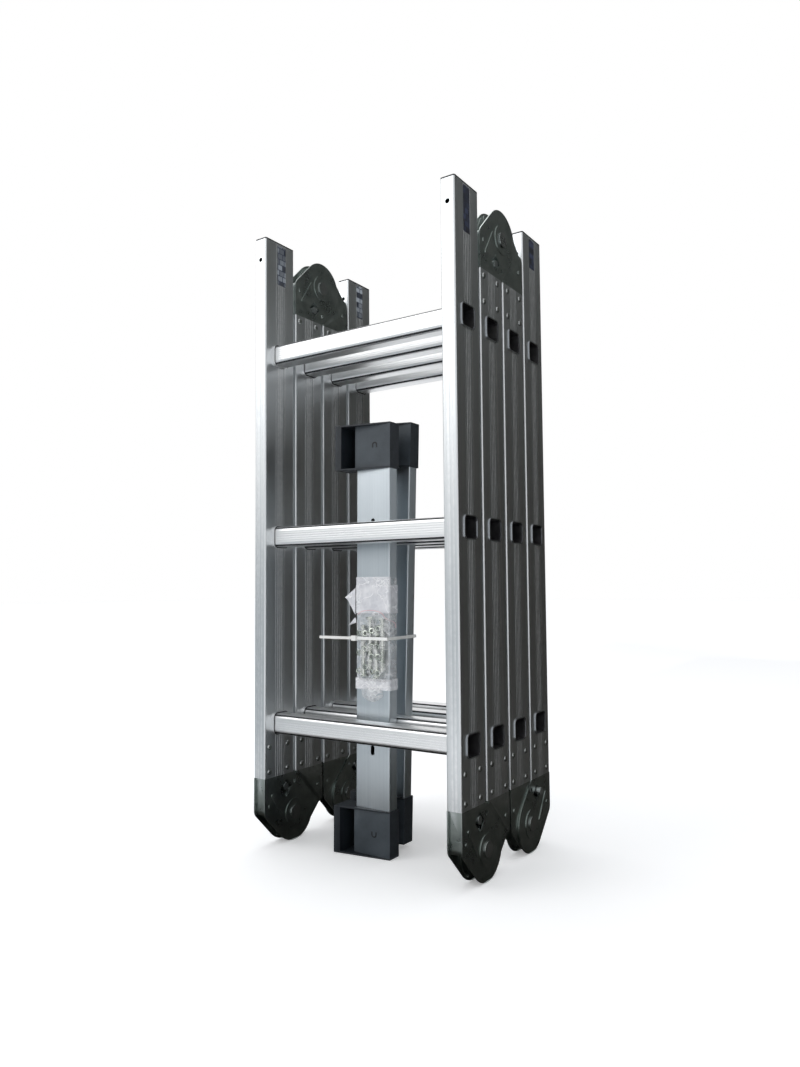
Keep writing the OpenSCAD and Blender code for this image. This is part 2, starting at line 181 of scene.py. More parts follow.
def film_creases():
    """Creases of thin film: thin curved ridges over soft milky clouds, and finer wrinkles, from 0 to 1."""
    group = new_group(
        "film_creases",
        [("Scale", "NodeSocketFloat", 38.0)],
        [("Creases", "NodeSocketFloat"), ("Wrinkles", "NodeSocketFloat")],
    )
    n, link = group.nodes, group.links.new
    place = n.new("ShaderNodeTexCoord")
    bends = n.new("ShaderNodeTexNoise")
    bends.inputs["Detail"].default_value = 3.0
    bends.inputs["Distortion"].default_value = 0.8
    # A ridge runs where the noise crosses its middle value
    off_middle = n.new("ShaderNodeMath")
    off_middle.operation = "SUBTRACT"
    off_middle.inputs[1].default_value = 0.5
    distance = n.new("ShaderNodeMath")
    distance.operation = "ABSOLUTE"
    ridge = n.new("ShaderNodeMapRange")
    ridge.inputs["From Max"].default_value = 0.035
    ridge.inputs["To Min"].default_value = 0.75
    ridge.inputs["To Max"].default_value = 0.0
    ridge.interpolation_type = "SMOOTHSTEP"
    clouds = n.new("ShaderNodeTexNoise")
    clouds.inputs["Scale"].default_value = 75.0
    clouds.inputs["Detail"].default_value = 2.0
    milk = n.new("ShaderNodeMapRange")
    milk.inputs["From Min"].default_value = 0.35
    milk.inputs["From Max"].default_value = 0.75
    milk.inputs["To Max"].default_value = 0.6
    fine = n.new("ShaderNodeTexNoise")
    fine.inputs["Scale"].default_value = 240.0
    fine.inputs["Detail"].default_value = 4.0
    both = n.new("ShaderNodeMath")
    both.operation = "MAXIMUM"
    both.use_clamp = True
    link(place.outputs["Object"], bends.inputs["Vector"])
    link(n["in"].outputs["Scale"], bends.inputs["Scale"])
    link(bends.outputs["Fac"], off_middle.inputs[0])
    link(off_middle.outputs[0], distance.inputs[0])
    link(distance.outputs[0], ridge.inputs["Value"])
    link(place.outputs["Object"], clouds.inputs["Vector"])
    link(clouds.outputs["Fac"], milk.inputs["Value"])
    link(ridge.outputs["Result"], both.inputs[0])
    link(milk.outputs["Result"], both.inputs[1])
    link(both.outputs[0], n["out"].inputs["Creases"])
    link(place.outputs["Object"], fine.inputs["Vector"])
    link(fine.outputs["Fac"], n["out"].inputs["Wrinkles"])
    return group


LINES, WEAR, GRAIN, CREASES = drawn_lines(), surface_wear(), moulded_grain(), film_creases()


# ---------- materials ----------

class Finish:
    """A material with a Principled BSDF, and short ways to add what feeds it."""

    def __init__(self, name, metallic=0.0, coat=0.0, ior=1.45):
        self.material = bpy.data.materials.new(name)
        self.material.use_nodes = True
        self.tree = self.material.node_tree
        self.shader = self.tree.nodes["Principled BSDF"]
        self.shader.inputs["Metallic"].default_value = metallic
        self.shader.inputs["Coat Weight"].default_value = coat
        self.shader.inputs["IOR"].default_value = ior

    def group(self, group, **values):
        node = self.tree.nodes.new("ShaderNodeGroup")
        node.node_tree = group
        for name, value in values.items():
            node.inputs[name.replace("_", " ")].default_value = value
        return node

    def blend(self, factor, low, high):
        """Colour that goes from low to high with factor."""
        mix = self.tree.nodes.new("ShaderNodeMix")
        mix.data_type = "RGBA"
        for socket, value in ((mix.inputs[6], low), (mix.inputs[7], high)):
            if isinstance(value, bpy.types.NodeSocket):
                self.tree.links.new(value, socket)
            else:
                socket.default_value = (*value, 1)
        self.tree.links.new(factor, mix.inputs[0])
        return mix.outputs[2]

    def spread(self, value, low, high):
        """A number from low to high as value goes from 0 to 1."""
        ramp = self.tree.nodes.new("ShaderNodeMapRange")
        ramp.inputs["To Min"].default_value = low
        ramp.inputs["To Max"].default_value = high
        self.tree.links.new(value, ramp.inputs["Value"])
        return ramp.outputs["Result"]

    def bump(self, height, depth, strength=1.0):
        node = self.tree.nodes.new("ShaderNodeBump")
        node.inputs["Distance"].default_value = depth
        node.inputs["Strength"].default_value = strength
        self.tree.links.new(height, node.inputs["Height"])
        self.tree.links.new(node.outputs["Normal"], self.shader.inputs["Normal"])

    def feed(self, socket, value):
        self.tree.links.new(value, self.shader.inputs[socket])


def extruded_aluminium(name, stretch, dull, bright, rough):
    """Satin aluminium with die lines along the extrusion."""
    finish = Finish(name, metallic=1.0)
    lines = finish.group(LINES, Stretch=stretch)
    wear = finish.group(WEAR, Smudge_Scale=9.0)
    drawn = finish.blend(lines.outputs["Value"], dull, bright)
    soiled = finish.blend(finish.spread(wear.outputs["Smudges"], 0.0, 0.35), drawn, dull)
    finish.feed("Base Color", finish.blend(wear.outputs["Edges"], soiled, (0.93, 0.94, 0.95)))
    finish.feed("Roughness", finish.spread(lines.outputs["Value"], *rough))
    finish.bump(lines.outputs["Value"], 0.00012, 0.5)
    return finish.material


def plated_steel(name, dark, light, rough=(0.28, 0.46), edge=(0.62, 0.66, 0.66)):
    """Pressed steel with a cloudy plating and bright worn edges."""
    finish = Finish(name, metallic=1.0)
    wear = finish.group(WEAR, Smudge_Scale=38.0, Edge=0.53)
    grain = finish.group(GRAIN, Scale=700.0)
    cloudy = finish.blend(wear.outputs["Smudges"], dark, light)
    finish.feed("Base Color", finish.blend(wear.outputs["Edges"], cloudy, edge))
    finish.feed("Roughness", finish.spread(wear.outputs["Smudges"], *rough))
    finish.bump(grain.outputs["Value"], 0.00006, 0.5)
    return finish.material


def moulded_plastic(name, dark, light, rough=(0.42, 0.6)):
    """Moulded plastic with a fine grain, scuffed pale on its edges."""
    finish = Finish(name)
    wear = finish.group(WEAR, Smudge_Scale=26.0, Edge=0.54)
    grain = finish.group(GRAIN, Scale=1100.0)
    body = finish.blend(wear.outputs["Smudges"], dark, light)
    scuff = tuple(min(1.0, 2.2 * c + 0.04) for c in light)
    finish.feed("Base Color", finish.blend(wear.outputs["Edges"], body, scuff))
    finish.feed("Roughness", finish.spread(grain.outputs["Value"], *rough))
    finish.bump(grain.outputs["Value"], 0.00015, 0.6)
    return finish.material


# How fine the drawn lines are along x, y and z: the small number is the direction that a piece is drawn in
UPRIGHT, LEVEL, ROUND = (420, 420, 2.0), (2.0, 420, 420), (420, 420, 420)
UPRIGHT_COARSE = (300, 300, 2.0)

STILE = extruded_aluminium(
    "stile_aluminium", UPRIGHT, (0.60, 0.63, 0.65), (0.72, 0.74, 0.75), rough=(0.30, 0.44)
)
RUNG = extruded_aluminium(
    "rung_aluminium", LEVEL, (0.80, 0.81, 0.82), (0.92, 0.93, 0.93), rough=(0.34, 0.48)
)
BAR = extruded_aluminium(
    "bar_aluminium", UPRIGHT_COARSE, (0.50, 0.55, 0.59), (0.74, 0.79, 0.82), rough=(0.28, 0.42)
)
# Painted shade: a darker copy of the stile's aluminium, for the walls of the grooves in its sides
GROOVE_SHADE = extruded_aluminium(
    "stile_groove_painted_shade", UPRIGHT, (0.13, 0.14, 0.14), (0.30, 0.31, 0.31), rough=(0.36, 0.5)
)
# Painted shade: nearly black, for the inner walls of the rungs' tubes
BORE_SHADE = plated_steel(
    "rung_bore_painted_shade", (0.05, 0.05, 0.055), (0.10, 0.10, 0.105), rough=(0.5, 0.65), edge=(0.2, 0.2, 0.2)
)
LEAF = plated_steel("hinge_steel", (0.27, 0.31, 0.30), (0.40, 0.44, 0.42), rough=(0.26, 0.40))
RIVET = plated_steel("rivet_steel", (0.30, 0.32, 0.32), (0.46, 0.48, 0.47), rough=(0.26, 0.40))
# Painted shade: a darker copy of the rung's aluminium, for the pressed lip over a stile's outer face
LIP_SHADE = extruded_aluminium(
    "rung_lip_painted_shade", ROUND, (0.34, 0.36, 0.38), (0.50, 0.52, 0.54), rough=(0.26, 0.40)
)
PIN = plated_steel("lock_pin_steel", (0.42, 0.46, 0.47), (0.60, 0.63, 0.63))
SPRING = plated_steel("spring_steel", (0.34, 0.35, 0.37), (0.50, 0.51, 0.52))
PLUG = moulded_plastic("plug_plastic", (0.018, 0.018, 0.02), (0.035, 0.036, 0.04))
SHOE = moulded_plastic("shoe_plastic", (0.007, 0.010, 0.014), (0.016, 0.021, 0.027))
# Painted light: a paler copy of the shoe's plastic for its front panel; painted shade: a darker copy for the
# U on it
LIT_PANEL = moulded_plastic("shoe_panel_painted_light", (0.040, 0.050, 0.060), (0.060, 0.073, 0.085))
MARK_SHADE = moulded_plastic("shoe_mark_painted_shade", (0.003, 0.004, 0.005), (0.006, 0.008, 0.010))
TIE = moulded_plastic("tie_nylon", (0.78, 0.78, 0.74), (0.88, 0.88, 0.85), rough=(0.3, 0.42))
ZINC = plated_steel(
    "bolt_zinc", (0.34, 0.38, 0.34), (0.66, 0.69, 0.63), rough=(0.14, 0.30), edge=(0.86, 0.87, 0.82)
)


def clear_film(name, low, high, see, shine):
    """Thin clear film: creased, milky on its creases, clear between them."""
    finish = Finish(name, ior=1.5)
    creases = finish.group(CREASES)
    finish.feed("Base Color", finish.blend(creases.outputs["Creases"], low, high))
    finish.feed("Alpha", finish.spread(creases.outputs["Creases"], *see))
    finish.feed("Roughness", finish.spread(creases.outputs["Wrinkles"], shine, shine + 0.2))
    finish.bump(creases.outputs["Wrinkles"], 0.0005, 0.5)
    return finish.material


def printed_label(name, ground, mark, paper):
    """A printed sticker with plain blocks: no words."""
    finish = Finish(name, coat=0.4)
    n, link = finish.tree.nodes, finish.tree.links.new
    place = n.new("ShaderNodeTexCoord")
    split = n.new("ShaderNodeSeparateXYZ")
    flat = n.new("ShaderNodeCombineXYZ")
    blocks = n.new("ShaderNodeTexBrick")
    blocks.offset = 0.37
    blocks.inputs["Color1"].default_value = (*ground, 1)
    blocks.inputs["Color2"].default_value = (*mark, 1)
    blocks.inputs["Mortar"].default_value = (*paper, 1)
    blocks.inputs["Scale"].default_value = 1.0
    blocks.inputs["Mortar Size"].default_value = 0.0007
    blocks.inputs["Brick Width"].default_value = 0.0105
    blocks.inputs["Row Height"].default_value = 0.0088
    wear = finish.group(WEAR, Smudge_Scale=60.0)
    link(place.outputs["Object"], split.inputs[0])
    link(split.outputs["Y"], flat.inputs["X"])
    link(split.outputs["Z"], flat.inputs["Y"])
    link(flat.outputs[0], blocks.inputs["Vector"])
    rubbed = finish.blend(finish.spread(wear.outputs["Smudges"], 0.0, 0.25), blocks.outputs["Color"], paper)
    finish.feed("Base Color", rubbed)
    finish.feed("Roughness", finish.spread(wear.outputs["Smudges"], 0.3, 0.5))
    return finish.material


FILM = clear_film("bag_film", (0.84, 0.85, 0.86), (0.98, 0.98, 0.99), (0.07, 0.66), shine=0.07)
TAPE = clear_film("bag_tape", (0.90, 0.91, 0.95), (1.0, 1.0, 1.0), (0.55, 0.96), shine=0.20)
STRIP = moulded_plastic("bag_strip", (0.62, 0.34, 0.38), (0.80, 0.55, 0.58), rough=(0.3, 0.45))
DARK_LABEL = printed_label(
    "dark_label", (0.008, 0.009, 0.014), (0.040, 0.052, 0.105), (0.010, 0.012, 0.02)
)
BLOCK_LABEL = printed_label(
    "block_label", (0.01, 0.012, 0.02), (0.42, 0.46, 0.5), (0.03, 0.04, 0.07)
)


# ---------- making pieces ----------

def deselect():
    bpy.ops.object.select_all(action="DESELECT")


def pick(obj):
    deselect()
    obj.select_set(True)
    bpy.context.view_layer.objects.active = obj


def apply_modifiers(obj):
    pick(obj)
    for modifier in list(obj.modifiers):
        bpy.ops.object.modifier_apply(modifier=modifier.name)


def thicken(sheet, wall):
    """Gives a sheet its thickness, half to each side."""
    solid = sheet.modifiers.new("wall", "SOLIDIFY")
    solid.thickness = wall
    solid.offset = 0
    apply_modifiers(sheet)


def finish_piece(piece, material, body="stabiliser_bundle", angle=40):
    """Puts a new piece's place into its mesh, smooths it, and gives it its material, body and slot."""
    pick(piece)
    bpy.ops.object.transform_apply(location=True, rotation=True, scale=True)
    bpy.ops.object.shade_smooth_by_angle(angle=radians(angle))
    piece.data.materials.clear()
    piece.data.materials.append(material)
    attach(piece, body)
    return piece


# Edges that turn more than this many degrees are rounded and shaded as edges
SHARP = 32
# How wide the rounded edges are: drawn tubes keep their grooves crisp, pressed and moulded pieces are rounder
DRAWN_EDGE, PRESSED_EDGE = 0.00015, 0.0004
# Points nearer than this are merged, in metres
MERGE = 0.00002


def refined(node, material, body, bevel):
    """A copy of a CAD node with merged faces and softly rounded edges, which stands for the node."""
    source = frame["nodes"][node]
    piece = bpy.data.objects.new("fine_" + node, source.data.copy())
    bpy.context.scene.collection.objects.link(piece)
    pick(piece)
    bpy.ops.object.mode_set(mode="EDIT")
    bpy.ops.mesh.select_all(action="SELECT")
    bpy.ops.mesh.remove_doubles(threshold=MERGE)
    bpy.ops.mesh.dissolve_limited(angle_limit=radians(1.0))
    bpy.ops.object.mode_set(mode="OBJECT")
    edge = piece.modifiers.new("edges", "BEVEL")
    edge.width = bevel
    edge.segments = 2
    edge.limit_method = "ANGLE"
    edge.angle_limit = radians(SHARP)
    edge.use_clamp_overlap = True
    apply_modifiers(piece)
    bpy.ops.object.shade_smooth_by_angle(angle=radians(SHARP))
    flat = piece.modifiers.new("flat_faces", "WEIGHTED_NORMAL")
    flat.keep_sharp = True
    apply_modifiers(piece)
    piece.data.materials.clear()
    piece.data.materials.append(material)
    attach(piece, body)
    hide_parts(node)
    return piece


# Where the painted shade lies, in metres: half the width of the grooves in a stile's side, half the width of
# a rung's bore, and the ends of the bore and the start of the lip, out from the ladder's middle
GROOVES_HALF = 0.022
BORE_HALF = 0.0136
BORE_END, LIP_START = 0.1784, 0.1772

# On a shoe: from its back to the front panel, from its side to the middle of the mark, and half the mark
PANEL_DEPTH = 0.0231
MARK_IN, MARK_HALF = 0.0292, 0.010
PANEL_SKIN = 0.0002


def paint_groove_shade(stile):
    """The walls of the grooves along a stile's sides get a darker copy of the stile's aluminium: painted
    shade in the grooves.
    """
    low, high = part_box(stile.name.removeprefix("fine_"))
    middle = (low.y + high.y) / 2
    stile.data.materials.append(GROOVE_SHADE)
    for face in stile.data.polygons:
        if abs(face.normal.y) > 0.4 and abs(face.center.y - middle) < GROOVES_HALF:
            face.material_index = 1


def paint_bore_shade(rung):
    """The inner walls of a rung's tube are painted nearly black: painted shade inside the tube."""
    low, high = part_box(rung.name.removeprefix("fine_"))
    middle = (low + high) / 2
    rung.data.materials.append(BORE_SHADE)
    for face in rung.data.polygons:
        off = face.center - middle
        if max(abs(off.y), abs(off.z)) < BORE_HALF and abs(off.x) < BORE_END:
            face.material_index = 1


def paint_lip_shade(rung):
    """The pressed lip over the stile's outer face gets a darker copy of the rung's aluminium: painted shade.
    """
    rung.data.materials.append(LIP_SHADE)
    for face in rung.data.polygons:
        if abs(face.center.x) > LIP_START and face.material_index == 0:
            face.material_index = 2


def paint_shoe_light_and_shade(shoe):
    """The shoe's recessed front panel gets a paler copy of the shoe's plastic, which is painted light, and
    the U moulded on it a darker copy, which is painted shade.
    """
    low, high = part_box(shoe.name.removeprefix("fine_"))
    panel = high.y - PANEL_DEPTH
    mark_x, mark_z = high.x - MARK_IN, (low.z + high.z) / 2
    shoe.data.materials.append(MARK_SHADE)
    shoe.data.materials.append(LIT_PANEL)
    for face in shoe.data.polygons:
        c = face.center
        on_mark = abs(c.x - mark_x) < MARK_HALF and abs(c.z - mark_z) < MARK_HALF
        if c.y < panel - PANEL_SKIN and on_mark:
            face.material_index = 1
        elif abs(c.y - panel) < PANEL_SKIN and face.normal.y < -0.9:
            face.material_index = 2


BODY_OF = {
    node: body for body, nodes in frame["record"]["behaviour"]["bodies"].items() for node in nodes
}
FINISHES = {
    "stile_aluminium": STILE, "rung_aluminium": RUNG, "hinge_steel": LEAF, "rivet_steel": RIVET,
    "lock_pin_steel": PIN, "spring_steel": SPRING, "plug_plastic": PLUG, "bar_aluminium": BAR,
    "shoe_plastic": SHOE, "tie_nylon": TIE,
}
MADE_NEW = ("bolt_bag", "bolts")
for part in frame["record"]["subparts"]:
    name, slot_name = part["node"], part["material_slot"]
    if name not in MADE_NEW:
        edge = DRAWN_EDGE if "_stile" in name or "_rung_" in name else PRESSED_EDGE
        piece = refined(name, FINISHES[slot_name], BODY_OF[name], bevel=edge)
        # A stile gets painted shade on the walls of its grooves
        if name.endswith("_stile"):
            paint_groove_shade(piece)
        # A rung gets painted shade inside its tube and on its lip
        if "_rung_" in name:
            paint_bore_shade(piece)
            paint_lip_shade(piece)
        # A shoe gets painted light on its front panel and painted shade on its U
        if name.endswith("_shoe"):
            paint_shoe_light_and_shade(piece)


# ---------- the ends of the hinge webs ----------

# The pivots, in metres: how far the hinges stand apart, how high they are, and how far out to each side
HINGE_PITCH = 0.069
PIVOT_LOW, PIVOT_HIGH = 0.042, 0.882
STILE_X = 0.166

# The plates' rounded corner, from the pivot: its centre and its radius to the web's middle
CORNER_OUT, CORNER_UP, CORNER_RADIUS = 0.0525, 0.0129, 0.00955
# The web: where it leaves the upper web, half its width, its thickness, and how far round the corner it goes
WEB_TOP = 0.0245
WEB_HALF = 0.00895
WEB_THICK = 0.002
WEB_TURN = radians(40)


def add_web_end(name, body, x, pivot_y, pivot_z, out, up):
    """The pressed web between a leaf's plates, round their rounded corner; out and up are 1 or -1."""
    straight = WEB_TOP - CORNER_UP
    length = straight + CORNER_RADIUS * WEB_TURN
    deselect()
    bpy.ops.mesh.primitive_grid_add(x_subdivisions=4, y_subdivisions=24, size=1)
    web = bpy.context.object
    web.name = name
    for vertex in web.data.vertices:
        run = (vertex.co.y + 0.5) * length
        turn = max(0.0, run - straight) / CORNER_RADIUS
        away = CORNER_OUT + CORNER_RADIUS * cos(turn)
        rise = WEB_TOP - run if run < straight else CORNER_UP - CORNER_RADIUS * sin(turn)
        across = x + 2 * WEB_HALF * vertex.co.x
        vertex.co = Vector((across, pivot_y + out * away, pivot_z + up * rise))
    thicken(web, WEB_THICK)
    edge = web.modifiers.new("edges", "BEVEL")
    edge.width = PRESSED_EDGE
    edge.segments = 2
    edge.limit_method = "ANGLE"
    apply_modifiers(web)
    finish_piece(web, LEAF, body=body, angle=SHARP)


# Each hinge, the depth and height of its pivot, and which way its outer leaf stands from it
for hinge, pivot_y, pivot_z, out, up in (
    ("12", -HINGE_PITCH, PIVOT_LOW, -1, 1),
    ("23", 0.0, PIVOT_HIGH, -1, -1),
    ("34", HINGE_PITCH, PIVOT_LOW, 1, 1),
):
    for side, x in (("left", -STILE_X), ("right", STILE_X)):
        body = BODY_OF["hinge_%s_%s_outer_leaf" % (hinge, side)]
        add_web_end("web_end_%s_%s" % (hinge, side), body, x, pivot_y, pivot_z, out, up)


# ---------- what is taped on the front bar ----------

# The front stabiliser bar, in metres: half its width, its front face, its corner radius, its middle at the
# floor, and how it leans
BAR_HALF = 0.0295
BAR_FACE = -0.0694
BAR_MIDDLE = -0.008
BAR_CORNER = 0.0015
BAR_LEAN = sin(radians(0.5))


def on_front_bar(across, z, out):
    """The point at a distance across the bar's front from its middle, and out from its surface; further
    than the front's edge, it goes on round the corner."""
    side = 1 if across >= 0 else -1
    middle = BAR_MIDDLE + z * BAR_LEAN
    flat = BAR_HALF - BAR_CORNER
    beyond = abs(across) - flat
    quarter = BAR_CORNER * pi / 2
    if beyond <= 0:
        return Vector((middle + across, BAR_FACE - out, z))
    if beyond < quarter:
        turn = beyond / BAR_CORNER
        x = flat + sin(turn) * (BAR_CORNER + out)
        y = BAR_FACE + BAR_CORNER - cos(turn) * (BAR_CORNER + out)
        return Vector((middle + side * x, y, z))
    return Vector((middle + side * (BAR_HALF + out), BAR_FACE + BAR_CORNER + beyond - quarter, z))


def crumple(a, z, size):
    """Smooth even noise from -1 to 1, for creases in the film."""
    return noise.noise(Vector((a / size, z / size, 3.7)))


def folded_sheet(name, left, right, low, high, across_steps, up_steps, height):
    """A sheet of film on the front bar; height(across, z) is how far it stands off the bar."""
    deselect()
    bpy.ops.mesh.primitive_grid_add(x_subdivisions=across_steps, y_subdivisions=up_steps, size=1)
    sheet = bpy.context.object
    sheet.name = name
    for vertex in sheet.data.vertices:
        across = left + (vertex.co.x + 0.5) * (right - left)
        z = low + (vertex.co.y + 0.5) * (high - low)
        vertex.co = on_front_bar(across, z, height(across, z))
    return sheet


def joined(name, pieces):
    """Pieces as one object; their meshes stay as they are."""
    deselect()
    for piece in pieces:
        piece.select_set(True)
    bpy.context.view_layer.objects.active = pieces[0]
    bpy.ops.object.join()
    whole = bpy.context.object
    whole.name = name
    return whole


def sealed(name, pieces):
    """Pieces joined with the seams between them closed."""
    whole = joined(name, pieces)
    bpy.ops.object.mode_set(mode="EDIT")
    bpy.ops.mesh.select_all(action="SELECT")
    bpy.ops.mesh.remove_doubles(threshold=MERGE)
    bpy.ops.mesh.normals_make_consistent(inside=False)
    bpy.ops.object.mode_set(mode="OBJECT")
    return whole


# Where the bolts stand in the bag: across the bar, height of the head's underside, and which way up
BOLTS = ((-0.0125, 0.2555, 1), (-0.0005, 0.2660, -1), (0.0105, 0.2540, 1), (0.0215, 0.2640, -1))
BOLT_LENGTH = 0.076

# The bag's edges on the bar, where its bolts fill it, and the height of the cable tie, in metres
BAG_LEFT, BAG_RIGHT = -0.0280, 0.0460
BAG_LOW, BAG_HIGH = 0.2380, 0.3980
FULL_LOW, FULL_HIGH = 0.2470, 0.3500
TIE_HEIGHT = 0.3090
# How near to the bag's edge a point counts as on it
ON_EDGE = 0.0001
FILM_WALL = 0.00012


def slope(distance, length):
    """From 0 to 1 over a length, and level before and after it."""
    return min(1.0, max(0.0, distance / length))


def bag_height(across, z):
    """The film drapes over the bolts and sags between them; it is flat and creased above and below."""
    along = slope(z - FULL_LOW, 0.010) * slope(FULL_HIGH - z, 0.012)
    along = along * along * (3 - 2 * along)
    over = max(exp(-((across - place) / 0.0062) ** 2) for place, _, _ in BOLTS)
    body = 0.0042 + 0.0068 * over
    edge = slope(0.0440 - across, 0.014) * slope(across + 0.0270, 0.010)
    creases = 0.0010 * crumple(across, z, 0.0045) * along + 0.00035 * crumple(across + 0.3, z, 0.0021)
    free = 0.0008 + body * along * edge + creases
    # The cable tie pulls the film in, most of all round the bar's corner
    pull = exp(-((z - TIE_HEIGHT) / 0.0050) ** 4)
    room = 0.0103 - 0.0083 * slope(across - 0.0260, 0.0040)
    return max(0.00035, free + (min(free, room) - free) * pull)


def back_height(across, z):
    """The film behind the bolts lies on the bar, and meets the front film along the bag's edges."""
    beside = across < BAG_LEFT + ON_EDGE or across > BAG_RIGHT - ON_EDGE
    beyond = z < BAG_LOW + ON_EDGE or z > BAG_HIGH - ON_EDGE
    return bag_height(across, z) if beside or beyond else 0.0002


def add_bag():
    front, back = (
        folded_sheet(name, BAG_LEFT, BAG_RIGHT, BAG_LOW, BAG_HIGH, 90, 190, height)
        for name, height in (("bolt_bag_film", bag_height), ("bag_back", back_height))
    )
    bag = sealed("bolt_bag_film", (front, back))
    finish_piece(bag, FILM, angle=70)
    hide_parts("bolt_bag")


def add_tapes():
    """Three strips of clear tape; each has its left, right, lower and upper edge and its distance off."""
    for name, left, right, low, high, off in (
        ("tape_top", -0.0310, 0.0470, 0.3470, 0.3880, 0.0016),
        ("tape_edge", -0.0310, 0.0300, 0.3840, 0.4000, 0.0011),
        ("tape_bottom", -0.0310, 0.0470, 0.2370, 0.2530, 0.0018),
    ):
        def height(across, z):
            return off + 0.0005 * crumple(across, z, 0.006) + 0.0003 * crumple(across, z, 0.0022)
        tape = folded_sheet(name, left, right, low, high, 60, 26, height)
        thicken(tape, FILM_WALL)
        finish_piece(tape, TAPE, angle=70)


# The curl of film under the lower tape, in metres: half its width, its upper edge, and its middle on the bar
CURL_HALF = 0.0190
CURL_TOP = 0.2400
CURL_MIDDLE = -0.0060


def curl_height(across, z):
    """The curl bulges most in its middle."""
    level = max(0.0, 1 - (across / 0.0195) ** 2) * max(0.0, 1 - ((z - 0.2300) / 0.0110) ** 2)
    return 0.0012 + 0.0045 * level + 0.0009 * crumple(across, z, 0.0038)


def add_curl():
    curl = folded_sheet("film_curl", -CURL_HALF, CURL_HALF, 0.2195, CURL_TOP, 36, 24, curl_height)
    for vertex in curl.data.vertices:
        # Its lower edge is rounded
        a = (vertex.co.x - CURL_MIDDLE) / CURL_HALF
        vertex.co.z += 0.0090 * min(1.0, a * a) * max(0.0, (CURL_TOP - vertex.co.z) / 0.0205)
    thicken(curl, FILM_WALL)
    finish_piece(curl, FILM, angle=70)


# How far the loose ends of film stand off the bar
FLAP_OFF = 0.0022


def add_flap(name, corners):
    """A three-cornered loose end of film, slightly curled, from two points on the bar to its free tip."""
    deselect()
    bpy.ops.mesh.primitive_grid_add(x_subdivisions=16, y_subdivisions=16, size=1)
    flap = bpy.context.object
    flap.name = name
    (a1, z1), (a2, z2), (a3, z3) = corners
    for vertex in flap.data.vertices:
        run, side = vertex.co.x + 0.5, vertex.co.y + 0.5
        # The free end narrows to a short edge, so that no face closes up to nothing
        reach = run * 0.97
        a = (a1 + (a2 - a1) * side) * (1 - reach) + a3 * reach
        z = (z1 + (z2 - z1) * side) * (1 - reach) + z3 * reach
        x = BAR_MIDDLE + z * BAR_LEAN + a
        curled = 0.003 * reach * sin(3.0 * side + 0.6)
        y = BAR_FACE - FLAP_OFF - curled + 0.0006 * crumple(a, z, 0.004)
        vertex.co = Vector((x, y, z))
    thicken(flap, FILM_WALL)
    finish_piece(flap, TAPE, angle=70)


def add_bag_stripe():
    """The bag's coloured closing strip, which arches over the bolts."""
    path = (
        (-0.0270, 0.3450), (-0.0200, 0.3490), (-0.0080, 0.3510), (0.0060, 0.3505),
        (0.0180, 0.3470), (0.0280, 0.3405), (0.0370, 0.3330), (0.0430, 0.3260),
    )
    curve = bpy.data.curves.new("bag_strip", "CURVE")
    curve.dimensions = "3D"
    line = curve.splines.new("BEZIER")
    line.bezier_points.add(len(path) - 1)
    for point, (a, z) in zip(line.bezier_points, path):
        point.co = on_front_bar(a, z, bag_height(a, z) + 0.0007)
        point.handle_left_type = point.handle_right_type = "AUTO"
    curve.bevel_depth = 0.00055
    curve.bevel_resolution = 2
    curve.use_fill_caps = True
    strip = bpy.data.objects.new("bag_strip", curve)
    bpy.context.scene.collection.objects.link(strip)
    pick(strip)
    bpy.ops.object.convert(target="MESH")
    finish_piece(bpy.context.object, STRIP)


# The bolts, in metres: radius of the shank, of the thread's crests and of the hexagons, how far a bolt's
# middle is off the bar, where its thread starts, the thread's rings, and its root as a share of its radius
SHANK_RADIUS, THREAD_RADIUS, HEX_RADIUS = 0.0034, 0.0037, 0.0054
BOLT_OFF = 0.0056
THREAD_START, THREAD_RINGS, THREAD_ROOT = 0.040, 34, 0.84
# Where the head and the nut start along the bolt, and how thick each is
HEXAGONS = ((0.0, 0.0040), (0.060, 0.0050))


def turn_corners(block, width):
    """Rounds the edges of a hexagon."""
    turned = block.modifiers.new("corners", "BEVEL")
    turned.width = width
    turned.segments = 2
    apply_modifiers(block)


def cut_thread(thread, middle, first, last):
    """Cuts a cylinder into rings and draws every other one in, which leaves a zigzag."""
    bpy.ops.object.mode_set(mode="EDIT")
    for ring in range(1, THREAD_RINGS):
        height = first + (last - first) * ring / THREAD_RINGS
        bpy.ops.mesh.select_all(action="SELECT")
        bpy.ops.mesh.bisect(plane_co=(0, 0, height), plane_no=(0, 0, 1))
    bpy.ops.object.mode_set(mode="OBJECT")
    pitch = (last - first) / THREAD_RINGS
    for vertex in thread.data.vertices:
        ring = round((vertex.co.z - first) / pitch)
        if 0 < ring < THREAD_RINGS and ring % 2:
            vertex.co.x = middle.x + (vertex.co.x - middle.x) * THREAD_ROOT
            vertex.co.y = middle.y + (vertex.co.y - middle.y) * THREAD_ROOT


